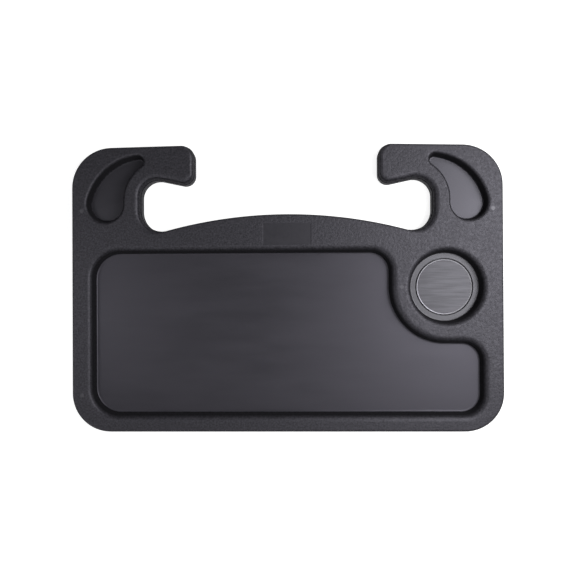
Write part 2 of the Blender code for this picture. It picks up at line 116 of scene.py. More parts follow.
@dataclass(frozen=True)
class Arc:
    """Stretch of an outline round one peg, from a heading of travel on through a sweep."""

    peg: Peg
    heading: float
    sweep: float
    fillet_in: float
    fillet_out: float

    def mirrored(self) -> "Arc":
        """The same stretch on the other side of the tray, run in the same sense."""
        return Arc(self.peg.mirrored(), -self.heading - self.sweep, self.sweep,
                   self.fillet_out, self.fillet_in)

    def fillet(self, share: float) -> float:
        """Edge fillet part of the way round, easing from the joint's to the peg's own and back.

        Args:
            share: How far round the arc, from 0 to 1.

        Returns:
            Radius of the fillet there.
        """
        near = self.fillet_in if share < 0.5 else self.fillet_out
        blend = abs(2 * share - 1)
        ease = blend * blend * (3 - 2 * blend)
        return near * ease + self.peg.fillet * (1 - ease)


@dataclass(frozen=True)
class Level:
    """Ring of a wall: how far inside the outline it runs and how high.

    Its zone is that of the band before it. The bend shares add that much of the point's own edge
    fillet, less the skin inside the shell.
    """

    inset: float
    height: float
    zone: Zone = Zone.GRAIN
    bend_inset: float = 0.0
    bend_height: float = 0.0
    skin: float = 0.0

    def reach(self, fillet: float, least: float) -> tuple[float, float]:
        """Inset and height of this ring at a point.

        Args:
            fillet: Edge fillet of the outline at that point.
            least: Smallest bend that the inside of the shell keeps.

        Returns:
            The inset from the outline and the height.
        """
        bend = max(fillet - self.skin, least) if self.skin else fillet
        return self.inset + self.bend_inset * bend, self.height + self.bend_height * bend


class Belt:
    """Outline that runs anticlockwise round pegs, each joined to the next by a tangent."""

    def __init__(self, pegs: Sequence[Peg]) -> None:
        """Keep the pegs in the order of travel."""
        self.pegs = list(pegs)

    def arcs(self) -> list[Arc]:
        """Stretch of the outline round each peg.

        Returns:
            The arcs in the order of travel.
        """
        headings = []
        for peg, following in zip(self.pegs, self.pegs[1:] + self.pegs[:1]):
            run = following.x - peg.x
            rise = following.y - peg.y
            lean = (following.radius - peg.radius) / math.hypot(run, rise)
            headings.append(math.atan2(rise, run) - math.asin(max(-1, min(1, lean))))
        arcs = []
        for index, peg in enumerate(self.pegs):
            before = self.pegs[index - 1]
            after = self.pegs[(index + 1) % len(self.pegs)]
            start = headings[index - 1]
            arcs.append(Arc(peg, start, swept(start, headings[index], peg.radius),
                            min(before.fillet, peg.fillet), min(peg.fillet, after.fillet)))
        return arcs


def swept(start: float, end: float, radius: float) -> float:
    """Angle from one heading to the next.

    Args:
        start: Heading on arrival at the peg.
        end: Heading on leaving it.
        radius: Radius of the peg; its sign gives the sense of the turn.

    Returns:
        The angle, anticlockwise round a full corner and clockwise in a hollow.
    """
    if radius > 0:
        return (end - start + SLACK) % FULL_TURN - SLACK
    return SLACK - (start - end + SLACK) % FULL_TURN


def apex(first: Peg, second: Peg, from_first: float, from_second: float) -> tuple[float, float]:
    """Point at given distances from two pegs.

    Args:
        first: Peg that the point is seen from.
        second: The other peg; the point lies to the left of the line to it.
        from_first: Distance to the first peg's centre.
        from_second: Distance to the second peg's centre.

    Returns:
        Plan position of the point.
    """
    line = Vector((second.x - first.x, second.y - first.y))
    along = (from_first ** 2 - from_second ** 2 + line.length_squared) / (2 * line.length)
    across = math.sqrt(from_first ** 2 - along ** 2)
    unit = line.normalized()
    return first.x + unit.x * along - unit.y * across, first.y + unit.y * along + unit.x * across


class Loft:
    """Traces outlines into a mesh and grows walls from them, ring by ring."""

    def __init__(self, bm: BMesh, step: float = math.radians(4), chord: float = 3 * MM,
                 least_bend: float = 0.4 * MM) -> None:
        """Set up the mesh to work in.

        Args:
            bm: Mesh that everything is added to.
            step: Largest turn between two points of an arc.
            chord: Largest distance between two points of an arc.
            least_bend: Smallest bend inside the shell.
        """
        self.bm = bm
        self.step = step
        self.chord = chord
        self.least_bend = least_bend
        layers = bm.verts.layers
        self.base = layers.float_vector.new("base")
        self.outward = layers.float_vector.new("outward")
        self.fillet = layers.float.new("fillet")

    def trace(self, arcs: Sequence[Arc]) -> Ring:
        """Spin a vertex round each peg and join the arcs up to a closed ring.

        Args:
            arcs: The outline's arcs in the order of travel.

        Returns:
            The edges of the ring.
        """
        runs = [self.spin(arc) for arc in arcs]
        for run, following in zip(runs, runs[1:] + runs[:1]):
            self.bm.edges.new((run[-1], following[0]))
        ring = [vert for run in runs for vert in run]
        bmesh.ops.remove_doubles(self.bm, verts=ring, dist=TOUCHING)
        return [edge for edge in self.bm.edges if edge.is_wire]

    def spin(self, arc: Arc) -> list[BMVert]:
        """Spin one vertex round a peg and note where each point lies on the outline.

        Args:
            arc: The stretch to trace.

        Returns:
            The new vertices in the order of travel.
        """
        peg = arc.peg
        centre = Vector((peg.x, peg.y, 0))
        side = Vector((math.sin(arc.heading), -math.cos(arc.heading), 0))
        first = self.bm.verts.new(centre + side * peg.radius)
        length = abs(peg.radius * arc.sweep)
        steps = max(1, math.ceil(abs(arc.sweep) / self.step), math.ceil(length / self.chord))
        run = [first]
        if length > TOUCHING:
            count = len(self.bm.verts)
            bmesh.ops.spin(self.bm, geom=[first], cent=centre, axis=(0, 0, 1), dvec=(0, 0, 0),
                           angle=arc.sweep, steps=steps, use_merge=False, use_duplicate=False)
            self.bm.verts.ensure_lookup_table()
            run += self.bm.verts[count:]
        for index, vert in enumerate(run):
            vert[self.base] = vert.co
            vert[self.outward] = (vert.co - centre) / peg.radius
            vert[self.fillet] = arc.fillet(index / max(1, len(run) - 1))
        return run

    def circle(self, x: float, y: float, radius: float, sides: int) -> Ring:
        """Trace a full circle.

        Args:
            x: Plan position of the centre.
            y: Plan position of the centre.
            radius: Radius of the circle.
            sides: Number of its sides.

        Returns:
            The edges of the ring.
        """
        centre = Vector((x, y, 0))
        made = bmesh.ops.create_circle(self.bm, cap_ends=False, segments=sides, radius=radius,
                                       matrix=Matrix.Translation(centre))
        for vert in made["verts"]:
            vert[self.base] = vert.co
            vert[self.outward] = (vert.co - centre) / radius
        return [edge for edge in self.bm.edges if edge.is_wire]

    def grow(self, ring: Ring, levels: Sequence[Level]) -> tuple[Ring, Ring]:
        """Extrude a traced ring through levels.

        Args:
            ring: Edges of the traced outline, which move to the first level.
            levels: The rings of the wall in order.

        Returns:
            The edges of the first ring and of the last one.
        """
        self.shift(ring, levels[0])
        last = ring
        for level in levels[1:]:
            grown = bmesh.ops.extrude_edge_only(self.bm, edges=last)["geom"]
            for face in (item for item in grown if isinstance(item, BMFace)):
                face.material_index = level.zone.value
            last = [item for item in grown
                    if isinstance(item, BMEdge) and len(item.link_faces) == 1]
            self.shift(last, level)
        return ring, last

    def shift(self, ring: Ring, level: Level) -> None:
        """Move a ring's vertices to a level, square to the outline.

        Args:
            ring: Edges of the ring.
            level: Where they go.
        """
        for vert in {vert for edge in ring for vert in edge.verts}:
            inset, height = level.reach(vert[self.fillet], self.least_bend)
            vert.co = vert[self.base] - inset * vert[self.outward]
            vert.co.z = height

    def sink(self, ring: Ring, levels: Sequence[Level]) -> Ring:
        """Grow a pocket from a traced ring and close its floor.

        Args:
            ring: Edges of the traced outline.
            levels: Rings of its wall, from the face to the floor.

        Returns:
            The edges of its rim.
        """
        rim, floor = self.grow(ring, levels)
        self.cap(floor, levels[-1].zone)
        return rim

    def cap(self, edges: Ring, zone: Zone = Zone.GRAIN) -> None:
        """Fill a flat region.

        Args:
            edges: Its outer loop, and the loops inside it that stay open.
            zone: Zone of its faces.
        """
        made = bmesh.ops.triangle_fill(self.bm, use_beauty=True, edges=edges)["geom"]
        for face in (item for item in made if isinstance(item, BMFace)):
            face.material_index = zone.value

    def turn(self, x: float, y: float, profile: Profile, sides: int) -> None:
        """Close a turned solid.

        Args:
            x: Plan position of its axis.
            y: Plan position of its axis.
            profile: Radius and height of each ring, from one cap to the other.
            sides: Number of its sides.
        """
        widest = max(radius for radius, height in profile)
        levels = [Level(widest - radius, height) for radius, height in profile]
        first, last = self.grow(self.circle(x, y, widest, sides), levels)
        self.cap(first)
        self.cap(last)


def finish_piece(bm: BMesh, name: str, materials: Sequence[bpy.types.Material],
                 sharp: float = math.radians(35)) -> bpy.types.Object:
    """Turn a mesh into a finished piece that rides on the tray.

    Args:
        bm: The closed mesh, which is used up.
        name: Name of the piece.
        materials: Materials in the order of the zones.
        sharp: Edges that turn by more than this stay crisp.

    Returns:
        The piece.
    """
    bmesh.ops.recalc_face_normals(bm, faces=bm.faces)
    layers = bm.verts.layers
    for layer in ("base", "outward"):
        layers.float_vector.remove(layers.float_vector[layer])
    layers.float.remove(layers.float["fillet"])
    mesh = bpy.data.meshes.new(name)
    bm.to_mesh(mesh)
    bm.free()
    mesh.shade_smooth()
    mesh.set_sharp_from_angle(angle=sharp)
    for material in materials:
        mesh.materials.append(material)
    piece = bpy.data.objects.new(name, mesh)
    bpy.context.scene.collection.objects.link(piece)
    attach(piece, "root")
    log.info("%s: %d faces", name, len(mesh.polygons))
    return piece


@dataclass(frozen=True)
class Plan:
    """Sizes of the tray seen from above, and the outlines and places that follow from them."""

    width: float
    length: float
    thickness: float
    skin: float = 2.2 * MM
    fit_gap: float = 0.3 * MM
    bottom_corner_radius: float = 38 * MM
    top_corner_radius: float = 40 * MM
    top_edge_fall: float = 1.4 * MM
    post_width: float = 67.6 * MM
    arm_width: float = 33.7 * MM
    hook_reach: float = 52.7 * MM
    opening_height: float = 50.1 * MM
    opening_upper_radius: float = 16.9 * MM
    opening_lower_radius: float = 20.2 * MM
    tip_drop: float = 4.8 * MM
    tip_lower_radius: float = 10.5 * MM
    tip_upper_radius: float = 12.2 * MM
    arc_rise: float = 16.2 * MM
    outer_fillet: float = 2.0 * MM
    hook_fillet: float = 5.5 * MM
    tip_fillet: float = 3.8 * MM
    screw_from_side: float = 10.5 * MM
    screw_upper_from_top: float = 64 * MM
    screw_lower_from_bottom: float = 36.3 * MM

    @property
    def half_width(self) -> float:
        """Half of the tray's width."""
        return self.width / 2

    @property
    def half_length(self) -> float:
        """Half of the tray's length."""
        return self.length / 2

    @property
    def opening_side(self) -> float:
        """X of the outer side of the right hook opening."""
        return self.half_width - self.post_width

    @property
    def opening_top(self) -> float:
        """Y of the upper side of the hook openings."""
        return self.half_length - self.arm_width

    @property
    def valley(self) -> float:
        """Y of the low point of the top edge, beside each hook opening."""
        return self.opening_top - self.opening_height

    def middle_peg(self) -> Peg:
        """Arc of the top edge between the hooks.

        Returns:
            The circle that touches the lower circle of both hook openings.
        """
        low_x = self.opening_side - self.opening_lower_radius
        rise = self.arc_rise - self.opening_lower_radius
        radius = (rise ** 2 + low_x ** 2 - self.opening_lower_radius ** 2) / (2 * self.arc_rise)
        return Peg(0, self.valley + self.arc_rise - radius, radius, self.outer_fillet)

    def outline(self) -> list[Arc]:
        """Outline of the whole tray at the seam.

        Returns:
            Its arcs, anticlockwise from the lower right corner.
        """
        tip_x = self.opening_side - self.hook_reach
        right = [
            Peg(self.half_width - self.bottom_corner_radius,
                self.bottom_corner_radius - self.half_length,
                self.bottom_corner_radius, self.outer_fillet),
            Peg(self.half_width - self.top_corner_radius,
                self.half_length - self.top_edge_fall - self.top_corner_radius,
                self.top_corner_radius, self.outer_fillet),
            Peg(tip_x + self.tip_upper_radius, self.half_length - self.tip_upper_radius,
                self.tip_upper_radius, self.tip_fillet),
            Peg(tip_x + self.tip_lower_radius,
                self.opening_top - self.tip_drop + self.tip_lower_radius,
                self.tip_lower_radius, self.hook_fillet),
            Peg(self.opening_side - self.opening_upper_radius,
                self.opening_top - self.opening_upper_radius,
                -self.opening_upper_radius, self.hook_fillet),
            Peg(self.opening_side - self.opening_lower_radius,
                self.valley + self.opening_lower_radius,
                -self.opening_lower_radius, self.hook_fillet),
        ]
        left = [peg.mirrored() for peg in reversed(right)]
        return Belt(right + [self.middle_peg()] + left).arcs()


@dataclass(frozen=True)
class Pocket:
    """Recess moulded into a face: how deep, and how its wall leans and bends.

    Attributes:
        depth: How far the floor lies from the face.
        rim_fillet: Radius of the bend from the face into the wall.
        foot_fillet: Radius of the bend from the wall into the floor.
        foot_ease: How much rounder the visible foot is than that.
        floor: Zone of the floor.
        side: Zone of the wall.
        draft: How far the wall leans out of the upright.
        bend_steps: Number of steps in a bend.
        support: Width of the band beside a bend that keeps the shading of the flat.
        least_bend: Smallest bend on the hidden side.
        steep: The wall's zone starts where the surface leans more than this.
        dull: The floor's zone ends where the surface leans more than this.
    """

    depth: float
    rim_fillet: float
    foot_fillet: float
    foot_ease: float = 0.0
    floor: Zone = Zone.SATIN
    side: Zone = Zone.WALL
    draft: float = math.radians(6)
    bend_steps: int = 9
    support: float = 0.4 * MM
    least_bend: float = 0.4 * MM
    steep: float = math.radians(42)
    dull: float = math.radians(32)

    @property
    def wall(self) -> float:
        """Width in plan of the wall, from the rim to the edge of the floor.

        Returns:
            Both bends and the straight part between them.
        """
        bends = self.rim_fillet + self.foot_fillet
        straight = self.depth - bends * (1 - math.sin(self.draft))
        return bends * math.cos(self.draft) + straight * math.tan(self.draft)

    def levels(self, face: float, sense: int, skin: float = 0) -> list[Level]:
        """Rings of the wall from the face to the floor.

        Args:
            face: Height of the face that the pocket is sunk into.
            sense: +1 where the face looks up, -1 where it looks down.
            skin: Distance to the hidden side of the wall; 0 gives the visible side.

        Returns:
            The levels, measured from the edge of the floor.
        """
        bend = max(self.rim_fillet - skin, self.least_bend)
        foot = self.foot_fillet + (skin or self.foot_ease)
        eased = 0 if skin else self.foot_ease * (1 - math.sin(self.draft)) / math.cos(self.draft)
        centre = self.depth + skin - foot
        start = self.wall - self.rim_fillet + skin + bend
        lean = QUARTER - self.draft
        rings = []
        if not skin:
            rings.append((start + self.support, 0.0, Zone.GRAIN))
        for step in range(self.bend_steps + 1):
            angle = lean * step / self.bend_steps
            zone = Zone.GRAIN if angle < self.steep else self.side
            drop = skin + bend * (1 - math.cos(angle))
            rings.append((start - bend * math.sin(angle), drop, zone))
        for step in range(self.bend_steps + 1):
            angle = lean * (1 - step / self.bend_steps)
            zone = Zone.EDGE if angle < self.steep else self.side
            if angle < self.dull:
                zone = self.floor
            rings.append((foot * math.sin(angle) - eased, centre + foot * math.cos(angle), zone))
        if not skin:
            rings.append((-eased - self.support, self.depth, self.floor))
        return [Level(-outset, face - sense * depth, zone) for outset, depth, zone in rings]


@dataclass
class CupHolder:
    """Round holder for a can or cup, with a ring floor and a pocket for the disc."""

    plan: Plan
    pocket: Pocket
    side_margin: float = 14.9 * MM
    top_margin: float = 15.7 * MM
    radius: float = 33.3 * MM
    ring_width: float = 5.2 * MM
    disc_gap: float = 0.6 * MM
    disc_thickness: float = 1.0 * MM
    tape_thickness: float = 0.8 * MM
    sides: int = 120

    @property
    def place(self) -> Vector:
        """Plan position of its axis."""
        rim = self.radius + self.pocket.wall
        return Vector((self.plan.half_width - self.side_margin - rim,
                       self.plan.valley - self.top_margin - rim))

    @property
    def disc_pocket_radius(self) -> float:
        """Radius of the pocket that the disc lies in."""
        return self.radius - self.ring_width

    @property
    def disc_pocket_depth(self) -> float:
        """Depth of that pocket: the disc, its tape and a gap on each side of the tape."""
        return self.disc_thickness + self.tape_thickness + 2 * self.plan.fit_gap

    @property
    def floor_height(self) -> float:
        """Height of the ring floor."""
        return self.plan.thickness - self.pocket.depth

    def levels(self, skin: float) -> list[Level]:
        """Rings from the face down to the floor of the disc's pocket.

        Args:
            skin: Distance to the hidden side of the wall; 0 gives the visible side.

        Returns:
            The levels, measured from the edge of the ring floor.
        """
        levels = self.pocket.levels(self.plan.thickness, 1, skin)
        edge = 0 if skin else self.plan.fit_gap
        inset = self.ring_width - skin
        floor = self.floor_height - skin
        levels.append(Level(inset - edge, floor, Zone.RING))
        if edge:
            levels.append(Level(inset, floor - edge, Zone.RING))
        levels.append(Level(inset, floor - self.disc_pocket_depth, Zone.RING))
        return levels


@dataclass
class FrontShell:
    """Food side: one moulding with the main recess, the cup holder and two teardrop pockets."""

    plan: Plan
    recess: Pocket
    tear: Pocket
    cup: CupHolder
    shell_height: float = 7.0 * MM
    seam_reveal: float = 0.7 * MM
    seam_round: float = 0.3 * MM
    recess_side_margin: float = 13.8 * MM
    recess_bottom_margin: float = 10.5 * MM
    recess_top_margin: float = 13.8 * MM
    recess_corner_radius: float = 24 * MM
    recess_island_radius: float = 18 * MM
    recess_lobe_radius: float = 17 * MM
    cup_land: float = 7.2 * MM
    tear_side_margin: float = 12.2 * MM
    tear_post_margin: float = 13.8 * MM
    tear_top_margin: float = 7.2 * MM
    tear_arm_margin: float = 9.1 * MM
    tear_lower_from_top: float = 57 * MM
    tear_tip_from_opening: float = 2.4 * MM
    tear_outer_radius: float = 55.9 * MM
    tear_inner_radius: float = 42.6 * MM
    bend_steps: int = 9
    steep: float = math.radians(50)
    support: float = 0.4 * MM
    boss_radius: float = 2.6 * MM
    boss_sides: int = 32
    pilot_radius: float = 1.7 * MM
    boss_foot: float = 6.6 * MM
    pilot_top: float = 16.5 * MM

    @property
    def seam(self) -> float:
        """Height of the seam between the shells."""
        return self.plan.thickness - self.shell_height

    @property
    def bend_radius(self) -> float:
        """Radius of the main recess's floor edge where it runs round the cup holder."""
        return self.cup.radius + self.cup.pocket.wall + self.cup_land + self.recess.wall

    @property
    def recess_left(self) -> float:
        """X of the left edge of the main recess's floor."""
        return self.recess_side_margin + self.recess.wall - self.plan.half_width

    @property
    def recess_bottom(self) -> float:
        """Y of the lower edge of the main recess's floor."""
        return self.recess_bottom_margin + self.recess.wall - self.plan.half_length

    @property
    def recess_top(self) -> float:
        """Y of the upper edge of the main recess's floor."""
        return self.plan.valley - self.recess_top_margin - self.recess.wall

    def recess_arcs(self) -> list[Arc]:
        """Floor outline of the main recess, which bends round the cup holder.

        Returns:
            Its arcs, anticlockwise from the lower left corner.
        """
        cup = self.cup.place
        corner = self.recess_corner_radius
        island = self.recess_island_radius
        lobe = self.recess_lobe_radius
        lobe_x = -self.recess_left - lobe
        return Belt([
            Peg(self.recess_left + corner, self.recess_bottom + corner, corner),
            Peg(lobe_x, self.recess_bottom + lobe, lobe),
            Peg(lobe_x, cup.y - self.bend_radius - lobe, lobe),
            Peg(cup.x, cup.y, -self.bend_radius),
            Peg(cup.x - self.bend_radius - island, self.recess_top - island, island),
            Peg(self.recess_left + corner, self.recess_top - corner, corner),
        ]).arcs()

    def tear_arcs(self, mirrored: bool) -> list[Arc]:
        """Floor outline of a teardrop pocket: two end circles joined by an outer and an inner arc.

        Args:
            mirrored: Whether it is the pocket of the left hook.

        Returns:
            Its arcs in the order of travel.
        """
        lower_rim = (self.plan.post_width - self.tear_side_margin - self.tear_post_margin) / 2
        upper_rim = (self.plan.arm_width - self.tear_top_margin - self.tear_arm_margin) / 2
        lower = Peg(self.plan.half_width - self.tear_side_margin - lower_rim,
                    self.plan.half_length - self.tear_lower_from_top, lower_rim - self.tear.wall)
        upper = Peg(self.plan.opening_side + self.tear_tip_from_opening,
                    self.plan.half_length - self.tear_top_margin - upper_rim,
                    upper_rim - self.tear.wall)
        outer = Peg(*apex(lower, upper, self.tear_outer_radius - lower.radius,
                          self.tear_outer_radius - upper.radius), self.tear_outer_radius)
        inner = Peg(*apex(lower, upper, self.tear_inner_radius + lower.radius,
                          self.tear_inner_radius + upper.radius), -self.tear_inner_radius)
        bearings = [(outer, lower), (outer, upper), (upper, inner), (lower, inner)]
        headings = [math.atan2(end.y - start.y, end.x - start.x) + QUARTER
                    for start, end in bearings]
        arcs = []
        for index, peg in enumerate((lower, outer, upper, inner)):
            start = headings[index - 1]
            arcs.append(Arc(peg, start, swept(start, headings[index], peg.radius), 0, 0))
        return [arc.mirrored() for arc in reversed(arcs)] if mirrored else arcs

    def edge_levels(self) -> list[Level]:
        """Rings of the outer edge: over its fillet, down to the seam and up its hidden side.

        Returns:
            The levels, measured from the outline of the tray.
        """
        top = self.plan.thickness
        skin = self.plan.skin
        foot = self.seam + self.plan.fit_gap
        levels = [Level(self.seam_reveal + self.support, top, bend_inset=1)]
        for step in range(self.bend_steps + 1):
            angle = QUARTER * step / self.bend_steps
            zone = Zone.GRAIN if angle < self.steep else Zone.EDGE
            levels.append(Level(self.seam_reveal, top, zone, bend_inset=1 - math.sin(angle),
                                bend_height=math.cos(angle) - 1))
        levels.append(Level(self.seam_reveal, foot + self.seam_round, Zone.EDGE))
        levels.append(Level(self.seam_reveal + self.seam_round, foot, Zone.EDGE))
        levels.append(Level(self.seam_reveal + skin, foot, Zone.EDGE))
        for step in range(self.bend_steps + 1):
            angle = QUARTER * step / self.bend_steps
            levels.append(Level(self.seam_reveal + skin, top - skin, bend_inset=1 - math.cos(angle),
                                bend_height=math.sin(angle) - 1, skin=skin))
        return levels

    def screw_places(self) -> dict[str, Vector]:
        """Places of the five screws.

        Returns:
            The plan position of each screw, by the name of its place.
        """
        side = self.plan.half_width - self.plan.screw_from_side
        upper = self.plan.half_length - self.plan.screw_upper_from_top
        lower = self.plan.screw_lower_from_bottom - self.plan.half_length
        cup = self.cup.place
        island = cup.x - self.cup.radius - self.cup.pocket.wall - self.cup_land / 2
        return {
            "upper_left": Vector((-side, upper)),
            "upper_right": Vector((side, upper)),
            "lower_left": Vector((-side, lower)),
            "lower_right": Vector((side, lower)),
            "island": Vector((island, cup.y)),
        }

    def build(self, materials: Sequence[bpy.types.Material]) -> bpy.types.Object:
        """Build and dress the shell.

        Args:
            materials: Its materials in the order of the zones.

        Returns:
            The finished piece, which stands for the CAD node.
        """
        bm = bmesh.new()
        loft = Loft(bm)
        top = self.plan.thickness
        cup = self.cup.place
        face, under = loft.grow(loft.trace(self.plan.outline()), self.edge_levels())
        for skin, loops in ((0, face), (self.plan.skin, under)):
            loops += loft.sink(loft.trace(self.recess_arcs()), self.recess.levels(top, 1, skin))
            for mirrored in (False, True):
                ring = loft.trace(self.tear_arcs(mirrored))
                loops += loft.sink(ring, self.tear.levels(top, 1, skin))
            ring = loft.circle(cup.x, cup.y, self.cup.radius, self.cup.sides)
            loops += loft.sink(ring, self.cup.levels(skin))
            if skin:
                loops += self.add_bosses(loft)
            loft.cap(loops)
        piece = finish_piece(bm, "front_shell_fine", materials)
        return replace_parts(piece, "front_shell")

    def add_bosses(self, loft: Loft) -> Ring:
        """Raise the tube behind the face that each screw bites into.

        Args:
            loft: Traces and grows the tubes.

        Returns:
            The edges where the tubes leave the face.
        """
        root = self.plan.thickness - self.plan.skin
        bore = self.boss_radius - self.pilot_radius
        levels = [Level(0, root), Level(0, self.boss_foot),
                  Level(bore, self.boss_foot), Level(bore, self.pilot_top)]
        roots: Ring = []
        for spot in self.screw_places().values():
            ring = loft.circle(spot.x, spot.y, self.boss_radius, self.boss_sides)
            roots += loft.sink(ring, levels)
        return roots


@dataclass
class BackShell:
    """Laptop side and outer wall: one moulding with a pen groove, wells, ribs and a tongue."""

    front: FrontShell
    pen: Pocket
    fillet: float = 3.0 * MM
    taper: float = 0.4 * MM
    tongue_thickness: float = 1.2 * MM
    tongue_height: float = 1.5 * MM
    tongue_root: float = 2.0 * MM
    pen_length: float = 150 * MM
    pen_width: float = 10 * MM
    pen_edge_margin: float = 5.3 * MM
    well_radius: float = 3.4 * MM
    well_depth: float = 4.5 * MM
    well_seat: float = 1.8 * MM
    well_wall: float = 1.6 * MM
    well_sides: int = 48
    rib_count: int = 8
    rib_thickness: float = 1.6 * MM
    rib_height: float = 5.3 * MM
    rib_margin: float = 12 * MM
    bend_steps: int = 8

    @property
    def plan(self) -> Plan:
        """Sizes that both shells share."""
        return self.front.plan

    def edge_levels(self) -> list[Level]:
        """Rings of the outer edge: up its outer side, over the tongue and down its hidden side.

        Returns:
            The levels, measured from the outline of the tray.
        """
        skin = self.plan.skin
        seam = self.front.seam
        rounding = self.front.seam_round
        tongue = self.front.seam_reveal + skin + self.plan.fit_gap
        behind = tongue + self.tongue_thickness
        root = seam - self.tongue_root
        levels = [Level(self.taper + self.fillet + self.front.support, 0)]
        for step in range(self.bend_steps + 1):
            angle = QUARTER * step / self.bend_steps
            zone = Zone.GRAIN if angle < self.front.steep else Zone.EDGE
            levels.append(Level(self.taper + self.fillet * (1 - math.sin(angle)),
                                self.fillet * (1 - math.cos(angle)), zone))
        levels += [
            Level(0, seam - rounding, Zone.EDGE),
            Level(rounding, seam, Zone.EDGE),
            Level(tongue, seam, Zone.EDGE),
            Level(tongue, seam + self.tongue_height, Zone.EDGE),
            Level(behind, seam + self.tongue_height),
            Level(behind, root),
            Level(skin, root - (behind - skin)),
        ]
        inner = self.fillet - skin
        for step in range(self.bend_steps + 1):
            angle = QUARTER * step / self.bend_steps
            levels.append(Level(self.taper + skin + inner * (1 - math.cos(angle)),
                                skin + inner * (1 - math.sin(angle))))
        return levels

    def pen_arcs(self) -> list[Arc]:
        """Floor outline of the pen groove, a slot that keeps clear of the top edge.

        Returns:
            Its two round ends.
        """
        end = self.pen_width / 2
        peg = self.plan.middle_peg()
        edge = peg.y + math.sqrt(peg.radius ** 2 - (self.pen_length / 2) ** 2)
        y = edge - self.pen_edge_margin - self.pen.wall - end
        x = self.pen_length / 2 - end
        return Belt([Peg(-x, y, end), Peg(x, y, end)]).arcs()

    def well_levels(self) -> list[Level]:
        """Rings of a screw well: over its mouth, up to the seat, through the hole and down outside.

        Returns:
            The levels, measured from the wall of the well.
        """
        rounding = self.front.seam_round
        hole = self.well_radius - self.front.pilot_radius
        top = self.well_depth + self.well_seat
        return [
            Level(-rounding, 0),
            Level(0, rounding),
            Level(0, self.well_depth),
            Level(hole, self.well_depth),
            Level(hole, top),
            Level(-self.well_wall, top),
            Level(-self.well_wall, self.plan.skin),
        ]

    def add_ribs(self, bm: BMesh) -> Ring:
        """Raise the ribs that hold the work surface up.

        Args:
            bm: Mesh of the shell.

        Returns:
            The edges where the ribs leave the face.
        """
        front = self.front
        left = front.recess_left + self.rib_margin
        right = front.cup.place.x - front.bend_radius - self.rib_margin
        bottom = front.recess_bottom + self.rib_margin
        top = front.recess_top - self.rib_margin
        size = Matrix.Diagonal((self.rib_thickness, top - bottom, 1, 1))
        roots: Ring = []
        for index in range(self.rib_count):
            x = left + (right - left) * index / (self.rib_count - 1)
            place = Matrix.Translation((x, (bottom + top) / 2, self.plan.skin))
            foot = bmesh.ops.create_grid(bm, x_segments=1, y_segments=1, size=UNIT_SQUARE,
                                         matrix=place @ size)
            face = foot["verts"][0].link_faces[0]
            roots += face.edges
            raised = bmesh.ops.extrude_face_region(bm, geom=[face])["geom"]
            bmesh.ops.translate(bm, vec=(0, 0, self.rib_height),
                                verts=[item for item in raised if isinstance(item, BMVert)])
            bmesh.ops.delete(bm, geom=[face], context="FACES_ONLY")
        return roots

    def build(self, materials: Sequence[bpy.types.Material]) -> bpy.types.Object:
        """Build and dress the shell.

        Args:
            materials: Its materials in the order of the zones.

        Returns:
            The finished piece, which stands for the CAD node.
        """
        bm = bmesh.new()
        loft = Loft(bm)
        face, under = loft.grow(loft.trace(self.plan.outline()), self.edge_levels())
        for spot in self.front.screw_places().values():
            ring = loft.circle(spot.x, spot.y, self.well_radius, self.well_sides)
            mouth, foot = loft.grow(ring, self.well_levels())
            face += mouth
            under += foot
        for skin, loops in ((0, face), (self.plan.skin, under)):
            loops += loft.sink(loft.trace(self.pen_arcs()), self.pen.levels(0, -1, skin))
        loft.cap(face)
        loft.cap(under + self.add_ribs(bm))
        piece = finish_piece(bm, "back_shell_fine", materials)
        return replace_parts(piece, "back_shell")


@dataclass
class CupInsert:
    """Disc in the cup holder's floor: a flat brushed face inside a narrow bead, whose light colour
    is a painted highlight.
    """

    cup: CupHolder
    bead_width: float = 0.8 * MM
    bead_height: float = 0.25 * MM
    bead_from_edge: float = 0.4 * MM
    bead_curve: float = 1.2
    edge_round: float = 0.2 * MM
    bead_steps: int = 4
    sides: int = 160
    sharp: float = math.radians(50)

    @property
    def radius(self) -> float:
        """Radius of the disc."""
        return self.cup.disc_pocket_radius - self.cup.disc_gap

    def profile(self) -> Profile:
        """Outline that the disc is turned from.

        Returns:
            Radius and height of each ring, from the underside over the bead to the flat face.
        """
        top = self.cup.floor_height
        crest = self.radius - self.bead_from_edge
        rings = [
            (self.radius, top - self.cup.disc_thickness),
            (self.radius, top - self.edge_round),
            (self.radius - self.edge_round, top),
            (crest + self.edge_round / 2, top + self.bead_height - self.edge_round / 2),
            (crest, top + self.bead_height),
        ]
        for step in range(1, self.bead_steps + 1):
            share = step / self.bead_steps
            height = self.bead_height * (1 - share) ** self.bead_curve
            rings.append((crest - self.bead_width * share, top + height))
        rings.append((crest - self.bead_width - self.edge_round, top))
        return rings

    def build(self, materials: Sequence[bpy.types.Material]) -> bpy.types.Object:
        """Build and dress the disc.

        Args:
            materials: Its brushed finish and that of the bead.

        Returns:
            The finished piece, which stands for the CAD node.
        """
        bm = bmesh.new()
        cup = self.cup.place
        Loft(bm).turn(cup.x, cup.y, self.profile(), self.sides)
        crest = self.radius - self.bead_from_edge
        for face in bm.faces:
            middle = face.calc_center_median()
            raised = middle.z > self.cup.floor_height
            if raised and 0 < crest - (middle.xy - cup).length < self.bead_width:
                face.material_index = DiscZone.BEAD.value
        piece = finish_piece(bm, "cup_disc_fine", materials, self.sharp)
        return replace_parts(piece, "cup_disc")


